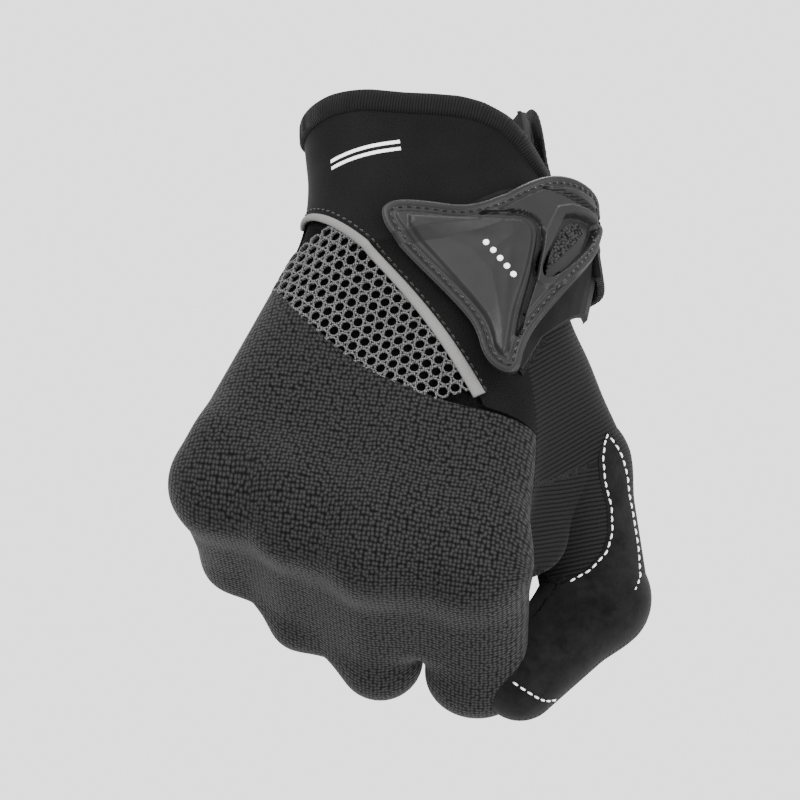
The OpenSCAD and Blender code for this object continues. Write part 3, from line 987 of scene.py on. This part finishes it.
def net_cells():
    """Flat six-sided cells with round holes, (points, triangles), over the open mesh's box."""
    q = to_palm(FLEX.verts)
    x0, x1, z0, z1 = q[:, 0].min() - 6, q[:, 0].max() + 2, q[:, 2].min() - 2, q[:, 2].max() + 2
    side = 24
    angle = np.arange(side) * 2 * math.pi / side
    near = (angle + math.pi / 6) % (math.pi / 3) - math.pi / 6
    edge = PITCH / 2 / np.cos(near)
    points, tris = [], []
    rows = int((z1 - z0) / (PITCH * 0.866)) + 1
    for j in range(rows):
        for i in range(int((x1 - x0) / PITCH) + 1):
            c = np.array([x0 + (i + 0.5 * (j % 2)) * PITCH, z0 + j * PITCH * 0.866])
            base = len(points) * side * 2
            ring = np.stack([np.sin(angle), np.cos(angle)], 1)
            cell = np.concatenate([c + ring * HOLE, c + ring * edge[:, None]])
            points.append(cell)
            for k in range(side):
                a, b = base + k, base + (k + 1) % side
                tris += [(a, b, b + side), (a, b + side, a + side)]
    return np.concatenate(points), np.array(tris)


def net_cloth():
    """The net, cut to the open mesh's outline and laid on the back of the hand."""
    flat, tris = net_cells()
    middle = flat.mean(0)
    c, s = math.cos(NET_TURN), math.sin(NET_TURN)
    flat = middle + np.stack([(flat - middle) @ [c, -s], (flat - middle) @ [s, c]], 1)
    arc = SEAM_R - np.hypot(flat[:, 0] - SEAM[0], flat[:, 1] - SEAM[1])
    lower = CRESCENT_R - np.hypot(flat[:, 0] - CRESCENT[0], flat[:, 1] - CRESCENT[1])
    part = Cloth(flat, tris, {"arc": arc, "lower": lower})
    for edge, margin in (("arc", 0.4), ("lower", -0.5)):
        part = part.keep(part.data[edge] - margin)
    part = part.keep(part.verts[:, 0] - to_palm(FLEX.verts)[:, 0].min() - 0.5)
    _, first, inverse = np.unique(np.round(part.verts, 4), axis=0, return_index=True, return_inverse=True)
    flat, tris = part.verts[first], inverse.ravel()[part.tris]
    tris = tris[(tris != np.roll(tris, 1, axis=1)).all(1)]
    p = dorsal(flat[:, 0], flat[:, 1])
    on = (p[:, 1] < SIDE_Y) & (np.abs(hand_form(p)) < 0.3)
    cloth = Cloth(p, tris[on[tris].all(1)], {}).compact()
    cloth.data = {"normal": hand_normal(cloth.verts), "weave": cloth.verts[:, [0, 2, 1]]}
    return faced_out(cloth)


dress("open_mesh_net", net_cloth(), "grey_mesh", "flex_mesh_panel", "hand", thickness=0.75, lift=0.15)


# The hem binding round the cuff's mouth
BINDING_DOWN, BINDING_T = 5.6, 1.0
HEM_STEP, RIB, RIB_PITCH = 0.45, 0.10, 0.95


def cuff_ring(count):
    """Points round the cuff at its middle height, by angle from the thumb side over the back."""
    a = np.linspace(0, 2 * math.pi, count, endpoint=False)
    straight = (CUFF_HALF_W - CUFF_R) * np.clip(np.abs(np.cos(a)) * 8, 0, 1)
    x = np.cos(a) * CUFF_R + np.where(np.cos(a) > 0, 1, -1) * straight
    return np.stack([x, -np.sin(a) * CUFF_R, np.full(count, -10.0)], 1)


line = resample(np.concatenate([cuff_ring(180), cuff_ring(180)[:1]]), HEM_STEP)[:-1]
for _ in range(3):
    line[:, 2] = rim(line)
    near = settle(line, hand_form, 1)
    line = np.stack([near[:, 0], near[:, 1], rim(near)], 1)
normals = hand_normal(line)
normals[:, 2] = 0
normals /= np.linalg.norm(normals, axis=1)[:, None]


def binding_section(i, n):
    """Up the outside, over the edge and down the inside, with fine ribs."""
    rib = RIB * math.sin(i * HEM_STEP * 2 * math.pi / RIB_PITCH)
    t = BINDING_T + rib
    outer = [(-BINDING_DOWN, 0.05), (-BINDING_DOWN + 0.5, t * 0.75), (-2.5, t), (-0.2, t + 0.1)]
    top = [(1.0, 0.35), (1.25, -1.1), (1.0, -2.4)]
    inner = [(-0.2, -3.3 - rib), (-2.5, -3.2 - rib), (-4.5, -3.0), (-4.5, -2.2)]
    core = [(-0.6, -2.2), (0.3, -1.1), (-0.6, 0.0)]
    return np.array(outer + top + inner + core)


closed = np.concatenate([line, line[:1]])
normal_closed = np.concatenate([normals, normals[:1]])
binding = sweep("hem_binding", closed, normal_closed, binding_section, MATERIAL["binding"], ends=False)
place(binding, "binding", "cuff_hem_binding", "hand")


# ---------- The strap ----------

TAB_FLAT, TAB_WRAP = 20.0, 27.0     # the tab is flat up to this u, then wraps round this radius
TAB_Y = 25.5
# The tab's outline and its features, in its own flat (u, z) before it wraps
OUTLINE = [(-13.3, -45.6), (-12.6, -43.2), (-8.9, -41.9), (-1.0, -43.6), (7.3, -46.2), (13.3, -46.2),
           (20.4, -43.2), (27.2, -39.8), (33.8, -37.2), (42.3, -36.2), (51.0, -36.6), (55.0, -38.4),
           (53.6, -44.0), (52.4, -49.5), (48.6, -55.0), (46.5, -59.0), (41.0, -65.2), (35.5, -70.8),
           (29.2, -77.5), (22.6, -84.6), (19.4, -90.1), (18.0, -95.0), (15.4, -97.0), (11.4, -94.8),
           (8.6, -90.1), (7.9, -83.4), (5.9, -78.2), (-0.3, -68.7), (-7.0, -59.2), (-12.4, -50.2)]
PLATE = [(-9.4, -46.6), (2.7, -48.9), (12.7, -51.0), (17.5, -51.0), (23.2, -51.4), (26.0, -53.8),
         (26.4, -57.1), (24.7, -63.7), (22.1, -71.1), (18.7, -79.3), (17.2, -84.8), (15.0, -92.6),
         (11.6, -90.4), (11.6, -83.4), (9.8, -78.0), (1.2, -63.6)]
GROOVE = [(13.5, -49.2), (17.5, -48.9), (21.9, -49.2), (25.4, -50.2), (27.8, -52.4), (28.4, -55.7),
          (27.4, -60.0), (25.9, -64.7), (24.6, -69.4), (22.4, -74.9), (20.0, -80.8), (18.6, -85.5)]
WINDOW = [(36.6, -48.6), (47.8, -47.8), (49.6, -50.4), (45.8, -55.4), (40.3, -61.2), (33.6, -67.4),
          (28.4, -70.4), (26.9, -68.6), (27.6, -64.8), (31.9, -57.4), (34.4, -52.4)]
GRIP = [(37.6, -50.4), (45.6, -50.2), (40.6, -56.2), (33.6, -62.4), (28.6, -67.0), (28.8, -64.6),
        (33.0, -57.4)]
SLOT = [(31.5, -41.6), (36.1, -42.2), (42.9, -43.6), (49.5, -44.6), (52.6, -45.6)]
RIDGE = [(-8.0, -47.6), (20.4, -60.0), (14.6, -90.5)]
STUDS = [(13.4, -58.6), (15.0, -61.2), (16.5, -63.8), (18.0, -66.4), (19.4, -69.0)]


def line_distance(p, line):
    """Distance from flat points to a polyline, and how far along it the nearest point is, 0 to 1."""
    line = np.asarray(line, float)
    best, where = np.full(len(p), 1e9), np.zeros(len(p))
    total = np.linalg.norm(np.diff(line, axis=0), axis=1).sum()
    done = 0.0
    for a, b in zip(line[:-1], line[1:]):
        ab = b - a
        t = np.clip((p - a) @ ab / (ab @ ab), 0, 1)
        d = np.linalg.norm(p - a - t[:, None] * ab, axis=1)
        closer = d < best
        best = np.where(closer, d, best)
        where = np.where(closer, (done + t * np.linalg.norm(ab)) / total, where)
        done += np.linalg.norm(ab)
    return best, where


def inside(p, outline):
    """Distance to a closed outline, above zero inside it."""
    ring = np.concatenate([outline, outline[:1]])
    d, _ = line_distance(p, ring)
    odd = np.zeros(len(p), bool)
    for (x1, z1), (x2, z2) in zip(ring[:-1], ring[1:]):
        if z1 == z2:
            continue
        crosses = (p[:, 1] > min(z1, z2)) & (p[:, 1] <= max(z1, z2))
        odd ^= crosses & (p[:, 0] < x1 + (p[:, 1] - z1) * (x2 - x1) / (z2 - z1))
    return np.where(odd, d, -d)


def rounded(outline, rounds=2):
    ring = np.asarray(outline, float)
    for _ in range(rounds):
        after = np.roll(ring, -1, axis=0)
        ring = np.stack([ring * 0.75 + after * 0.25, ring * 0.25 + after * 0.75], 1).reshape(-1, 2)
    return ring


def wrapped(flat):
    """The tab's place and outward direction for flat (u, z) points."""
    u, z = flat[:, 0], flat[:, 1]
    a = np.maximum(u - TAB_FLAT, 0) / TAB_WRAP
    x = np.where(u > TAB_FLAT, TAB_FLAT + TAB_WRAP * np.sin(a), u)
    y = -TAB_Y + TAB_WRAP * (1 - np.cos(a))
    normal = np.stack([np.sin(a), -np.cos(a), np.zeros(len(u))], 1)
    place_ = np.stack([x, y, z], 1)
    for _ in range(3):
        d = hand_form(place_ - normal * 2.4)
        place_ = place_ + normal * np.maximum(0.5 - d, 0)[:, None]
    return place_, normal


def tab_height(flat):
    """The tab's relief: a stitched lip, a folded plate, a groove, a slot and a sunk window."""
    edge = inside(flat, rounded(OUTLINE))
    plate = inside(flat, rounded(PLATE, 1))
    groove, where = line_distance(flat, smooth_line(GROOVE))
    window = inside(flat, rounded(WINDOW, 1))
    slot, along_slot = line_distance(flat, smooth_line(SLOT))
    ridge, _ = line_distance(flat, RIDGE)
    h = np.zeros(len(flat))
    h += 0.55 * soft_step(edge / 0.7) - 0.35 * soft_step((edge - 1.5) / 0.5)
    h += 0.55 * soft_step((edge - 3.2) / 0.9)
    h += 0.9 * soft_step(plate / 1.2) + 0.9 * np.clip(plate / 9.0, 0, 1)
    h += 0.35 * np.exp(-(ridge / 2.2) ** 2) * soft_step(plate / 2)
    width = 0.85 + 0.45 * np.sin(np.clip(where, 0, 1) * math.pi)
    h -= 1.9 * (1 - soft_step((groove - width * 0.55) / 0.55))
    h -= 1.6 * (1 - soft_step((slot - 0.25 - 0.7 * np.sin(along_slot * math.pi)) / 0.4))
    h += 0.7 * (1 - soft_step((np.abs(window + 1.3) - 0.9) / 0.9)) * (1 - soft_step((1.6 - groove) / 1.0))
    h -= 2.0 * soft_step(window / 0.8)
    return h


def flat_grid(points, pitch):
    """Triangles over the box of some flat points, with a margin."""
    points = np.asarray(points)
    low, high = points.min(0) - 1, points.max(0) + 1
    u = np.arange(low[0], high[0] + pitch, pitch)
    z = np.arange(low[1], high[1] + pitch, pitch)
    grid = np.stack(np.meshgrid(u, z, indexing="ij"), -1).reshape(-1, 2)
    n = len(z)
    i, j = np.meshgrid(np.arange(len(u) - 1), np.arange(n - 1), indexing="ij")
    a = (i * n + j).ravel()
    return grid, np.concatenate([np.stack([a, a + n, a + n + 1], 1), np.stack([a, a + n + 1, a + 1], 1)])


def relief(flat, lift=0.0):
    """Points of the tab's outer face."""
    base, normal = wrapped(flat)
    return base + normal * (tab_height(flat) + lift)[:, None], normal


def tab_cloth(outline, pitch, lift=0.0):
    """The tab's outer face inside an outline."""
    flat, tris = flat_grid(outline, pitch)
    part = Cloth(flat, tris, {}).keep(inside(flat, rounded(outline)))
    uz, e = part.verts, 0.12
    p, out = relief(uz, lift)
    du = relief(uz + [e, 0], lift)[0] - relief(uz - [e, 0], lift)[0]
    dz = relief(uz + [0, e], lift)[0] - relief(uz - [0, e], lift)[0]
    normal = np.cross(du, dz)
    normal /= np.linalg.norm(normal, axis=1)[:, None]
    if (normal * out).sum() < 0:
        normal = -normal
    weave = np.stack([uz[:, 0], uz[:, 1], np.zeros(len(uz))], 1)
    return faced_out(Cloth(p, part.tris, {"normal": normal, "weave": weave}))


tab = tab_cloth(OUTLINE, 0.38)
dress("strap_tab", tab, "tab_rubber", "strap_cover", "strap", thickness=2.2)
grip = tab_cloth(GRIP, 0.5, lift=0.25)
dress("strap_grip", grip, "grip_rubber", "strap_grip_inset", "strap", thickness=0.6)
ring = rounded(OUTLINE)
ring = resample(np.concatenate([ring, ring[:1]]), 0.5)
step = np.roll(ring, -1, axis=0) - ring
inward = np.stack([step[:, 1], -step[:, 0]], 1)
inward /= np.maximum(np.linalg.norm(inward, axis=1), 1e-6)[:, None]
if inside(ring + inward * 0.5, rounded(OUTLINE)).mean() < 0:
    inward = -inward
row = ring + inward * 2.3
row = row[inside(row, rounded(OUTLINE)) > 2.0]
p, normal = relief(row)
stitches("strap_stitches", p, normal, 1.6, 0.8, 0.26, THREAD_DARK, "strap", "tab_rubber", None, lift=0.3)


def stud(flat, radius, lift):
    """A small plain dome on the tab."""
    (p,), (normal,) = relief(np.array([flat]))
    a = unit(np.cross(normal, [0, 0, 1.0]))
    b = np.cross(normal, a)
    verts, faces, around_ = [], [], 14
    for r, h in ((radius, -0.4), (radius, 0.2), (radius * 0.8, lift * 0.85), (radius * 0.4, lift)):
        for j in range(around_):
            t = j * 2 * math.pi / around_
            verts.append(p + r * (math.cos(t) * a + math.sin(t) * b) + normal * h)
    for k in range(3):
        for j in range(around_):
            m = (j + 1) % around_
            low, high = k * around_, (k + 1) * around_
            faces.append((low + j, low + m, high + m, high + j))
    faces += [tuple(range(around_ - 1, -1, -1)), tuple(3 * around_ + j for j in range(around_))]
    return verts, faces


verts, faces = [], []
for flat in STUDS:
    v, f = stud(flat, 0.85, 0.45)
    faces += [tuple(i + len(verts) for i in face) for face in f]
    verts += v
place(make_object("strap_studs", verts, faces, PRINT), "tab_rubber", None, "strap")


# ---------- The thumb ----------

THUMB = CHAINS["thumb"]
SWING_OUT = unit(to_palm(THUMB[1]) - to_palm(THUMB[0]))
SWING_OUT[2] = 0
SWING_OUT = unit(SWING_OUT) @ PALM_AXES


def thumb_base(p):
    """The thumb's root as a closed form, which grows out of the hand and is hollow where the hand is."""
    p = np.asarray(p, np.float32)
    a, b, ra, rb = sections("thumb")[0]
    root = join(cone(p, a, b, ra, rb), cone(p, WEB[0], WEB[1], 15, 12), 10)
    hand = hand_form(p)
    grown = join(hand + 0.5, root, 12)
    return np.maximum(np.maximum(grown, -(hand + 3.0)), root - 7)


low, high = around([THUMB[0], THUMB[1], *WEB], 27)
base = cloth_of(thumb_base, low, high)
base = finger_weave(base, "thumb")
obj = make_object("thumb_base", base.verts, base.tris, MATERIAL["stretch"],
                  base.data["normal"][base.tris].reshape(-1, 3), base.data["weave"])
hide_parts("thumb_root_back", "thumb_root_front", "thumb_root_hood")
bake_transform(obj)

PATCH_T = [-6, -3, 0, 5, 13, 20, 25, 29, 31.6, 34]        # along the thumb's middle section
PATCH_OUTER = [62, 75, 81, 82, 78, 82, 92, 112, 142, 178]  # degrees round it, on the hand's side
BACK_T = [-6, -3, 0, 5, 15, 25, 33, 37, 41]
PATCH_INNER = [60, 54, 48, 42, 38, 38, 44, 60, 76]         # and on the thumb's back
THUMB_ACROSS = -unit(JOINTS["thumb_tip_joint"]["axis"])


def thumb_axes(k):
    a, b, ra, rb = sections("thumb")[k]
    d = unit(b - a)
    out = unit(np.cross(d, THUMB_ACROSS))
    return a, d, out, np.cross(d, out)


def thumb_polar(p, k):
    """Length along a section of the thumb, and degrees round it from its back."""
    a, d, out, side = thumb_axes(k)
    q = p - a
    return q @ d, np.degrees(np.arctan2(q @ side, q @ out))


def on_thumb(t, degrees, k):
    """Points of the thumb's face, by length along a section and degrees round it."""
    a, d, out, side = thumb_axes(k)
    r = np.radians(degrees)
    aim = np.cos(r)[:, None] * out + np.sin(r)[:, None] * side
    p = a + t[:, None] * d + aim * 12
    field = capsule("thumb", k)
    return settle(p, field, 12), field


def wrap_cut(cloth, k, low, high):
    """The cloth between two lines round the thumb, each given as degrees at a length along it."""
    for bound, sign in ((low, 1), (high, -1)):
        t, a = thumb_polar(cloth.verts, k)
        # degrees run from the middle of the kept part, so that the cut behind it stays clean
        middle = (low(t) + high(t)) / 2
        a = (a - middle + 180) % 360 - 180
        cloth = cloth.keep(sign * (a - (bound(t) - middle)))
    return cloth


def constant(degrees):
    return lambda t: np.full(len(t), float(degrees))


def outer(t):
    return np.interp(t, PATCH_T, PATCH_OUTER)


def inner(t):
    return np.interp(t, BACK_T, PATCH_INNER)


def thumb_tube(k):
    """The cloth tube of a section of the thumb."""
    a, b, ra, rb = sections("thumb")[k]
    low, high = around([a, b], ra + 3)
    return finger_weave(cloth_of(capsule("thumb", k), low, high), "thumb")


def thumb_panel(name, tube, k, bounds, slot, node, **kw):
    dress(name, wrap_cut(tube, k, *bounds), slot, node, ("thumb_middle", "thumb_tip")[k - 1], **kw)


def thumb_stitches(name, p, field, body, lift=0.0):
    """White stitches on the thumb, along points of its face."""
    n = gradient(field, p)
    stitches(name, p + n * lift, n, 1.7, 0.75, 0.3, THREAD_WHITE, body, "suede", None)


SIDE_END, FRONT_END, BACK_START = 182, 285, -75      # degrees round the middle section
tube = thumb_tube(1)
thumb_panel("thumb_middle_back_cloth", tube, 1, (constant(BACK_START), inner), "stretch", "thumb_middle_back")
thumb_panel("thumb_patch_suede", tube, 1, (inner, outer), "suede", "thumb_patch", lift=0.35, thickness=1.4)
thumb_panel("thumb_middle_side_cloth", tube, 1, (outer, constant(SIDE_END)), "stretch", "thumb_middle_front")
thumb_panel("thumb_middle_palm_cloth", tube, 1, (constant(SIDE_END), constant(FRONT_END)), "suede",
            "thumb_middle_front")
EDGE = 4.5      # degrees from the patch's edge to its stitches
for tag, ts, edge, shift in (("outer", np.linspace(-5, 31.6, 60), outer, -EDGE),
                             ("inner", np.linspace(-4, 37, 60), inner, EDGE)):
    p, field = on_thumb(ts, edge(ts) + shift, 1)
    thumb_stitches("thumb_stitches_" + tag, p, field, "thumb_middle", lift=0.35)

TIP_START, TIP_EDGE, TIP_END = -95, 26, 265          # degrees round the last section
tube = thumb_tube(2)
thumb_panel("thumb_tip_back_cloth", tube, 2, (constant(TIP_START), constant(TIP_EDGE)), "stretch",
            "thumb_tip_back")
thumb_panel("thumb_tip_palm_cloth", tube, 2, (constant(TIP_EDGE), constant(TIP_END)), "suede",
            "thumb_tip_front")
TIP_SEAM_T, TIP_SEAM = [36.0, 34.8, 32.9, 30.6, 28.0], [105.0, 77.0, 50.0, 34.0, 22.0]
p, field = on_thumb(np.array(TIP_SEAM_T), np.array(TIP_SEAM), 2)
thumb_stitches("thumb_tip_stitches", settle(smooth_line(p, 3), field, 3), field, "thumb_tip")


# ---------- The knuckle guard and the other hidden pieces ----------

def guard_zone(p):
    q = to_palm(p)
    line = np.interp(q[:, 0], [-52, -42, -21.5, 1.5, 26.5, 38], [-62, -60, -67, -71, -72, -70])
    return line - q[:, 2]


SHELL = keep(HAND, lambda p: -14 - p[:, 1] + np.abs(to_palm(p)[:, 0] + 8) * 0.2)
SHELL = keep(keep(SHELL, guard_zone), lambda p: -past_knuckles(p) - WEDGE - 2.5)
dress("knuckle_guard_shell", SHELL, "guard", "knuckle_guard", "hand", thickness=1.6, lift=-1.5)
dress("knuckle_foam_pad", SHELL, "foam", "knuckle_foam", "hand", thickness=1.8, lift=-3.3)

KEPT = {"palm_patch": "suede", "entry_gusset": "stretch", "loop_pad": "loop",
        "strap_web": "webbing", "hook_pad": "hook"}
for node, slot in KEPT.items():
    materials = bpy.data.objects[node].data.materials
    materials.clear()
    materials.append(MATERIAL[slot])


# The webbing's own fold, from inside the wrist round the hinge to the strap
HINGE = joint_at("strap_peel")
FOLD_HALF_W, FOLD_T = 9.2, 1.0
FOLD_PATH = [(25.0, 13.5), (33.0, 12.5), (38.5, 10.5), (42.8, 7.0), (43.6, 3.0), (43.5, -3.0), (42.6, -7.0)]
FOLD_FACE = [(-1, 0.7), (-0.97, 1), (-0.5, 1.05), (0, 1.05), (0.5, 1.05), (0.97, 1), (1, 0.7)]
FOLD_START, FOLD_END = HINGE + [-3, 4.5, 0], HINGE + [-3, -4.5, 0]


def fold_section(i, n):
    """A flat band with rounded edges, whose thickness ripples as woven webbing's does."""
    t = FOLD_T * (1 + 0.1 * math.sin(i * 2.2))
    face = [(FOLD_HALF_W * x, t * y) for x, y in FOLD_FACE]
    return face + [(-x, -y) for x, y in face]


path = resample(smooth_line(FOLD_PATH, 3), 0.6)
low, high = node_box("strap_anchor")
line = np.stack([path[:, 0], path[:, 1], np.full(len(path), (low[2] + high[2]) / 2)], 1)
step = np.gradient(line, axis=0)
normals = np.stack([-step[:, 1], step[:, 0], step[:, 2]], 1)
normals /= np.linalg.norm(normals, axis=1)[:, None]
fold = sweep("strap_fold", line, normals, fold_section, MATERIAL["webbing"])
place(fold, "webbing", "strap_anchor", None, ("hand", "strap", FOLD_START, FOLD_END))


# Plain pale bands on the back of the cuff
BAND_X, BAND_Z, BAND_HALF_W = (-25.5, -6.0), (-21.6, -24.0), 0.55
BAND_SECTION = [(BAND_HALF_W, -0.1), (BAND_HALF_W, 0.08), (-BAND_HALF_W, 0.08), (-BAND_HALF_W, -0.1)]


for n, z in enumerate(BAND_Z):
    line = pressed(np.stack([np.linspace(*BAND_X, 60), np.full(60, -60.0), np.full(60, z)], 1))
    band = sweep(f"cuff_band_{n}", line, hand_normal(line), lambda i, m: BAND_SECTION, PRINT)
    place(band, "reflective", None, "hand")


# ---------- The camera and the light ----------

# The camera's right, down and away: nearly straight at the back of the hand, from below
VIEW = np.array([[0.992, 0.066, -0.108], [-0.126, 0.434, -0.892], [-0.012, 0.898, 0.439]])
AIM = np.array([-15.0, 18.0, -79.0]) * MM
DISTANCE, PICTURE_W = 0.84, 0.2214
SENSOR = 36
LENS = SENSOR * DISTANCE / PICTURE_W


def look_from():
    right, down, away = (unit(v) for v in VIEW)
    data = bpy.data.cameras.new("camera")
    data.lens, data.sensor_width = LENS, SENSOR
    camera = bpy.data.objects.new("camera", data)
    bpy.context.scene.collection.objects.link(camera)
    turn = Matrix(np.array([right, -down, -away]).T.tolist()).to_4x4()
    camera.matrix_world = Matrix.Translation(Vector(AIM - away * DISTANCE)) @ turn
    bpy.context.scene.camera = camera


def soft_light(name, at, size, power):
    data = bpy.data.lights.new(name, "AREA")
    data.shape, data.size, data.energy = "DISK", size, power
    light = bpy.data.objects.new(name, data)
    light.location = at
    light.rotation_euler = (Vector(AIM) - Vector(at)).to_track_quat("-Z", "Y").to_euler()
    bpy.context.scene.collection.objects.link(light)


LIGHTS = {          # where, how wide (m) and how strong (W)
    "key": ((-0.55, -0.75, 0.55), 0.5, 26),
    "fill": ((0.75, -0.7, -0.15), 0.6, 15),
    "top": ((0.1, 0.15, 1.0), 0.6, 12),
    "low": ((0.3, -0.5, -0.6), 0.6, 8),
}
SKY, SKY_STRENGTH = (1, 1, 1, 1), 2.2
FLOOR_R, FLOOR_Z = 6.0, -0.8


def studio():
    look_from()
    for name, (at, size, power) in LIGHTS.items():
        soft_light(name, at, size, power)
    world = bpy.data.worlds.new("studio")
    world.use_nodes = True
    sky = world.node_tree.nodes["Background"].inputs
    sky[0].default_value, sky[1].default_value = SKY, SKY_STRENGTH
    bpy.context.scene.world = world
    mesh = bpy.data.meshes.new("floor")
    r, z = FLOOR_R, FLOOR_Z
    mesh.from_pydata([(-r, -r, z), (r, -r, z), (r, r, z), (-r, r, z)], [], [(0, 1, 2, 3)])
    floor = bpy.data.objects.new("floor", mesh)
    bpy.context.scene.collection.objects.link(floor)
    m = Nodes("floor", grey(0.86), 0.85)
    m.bump(m.noise(m.place(4.0), 2.0), 0.1, 0.2)
    mesh.materials.append(m.material)


studio()
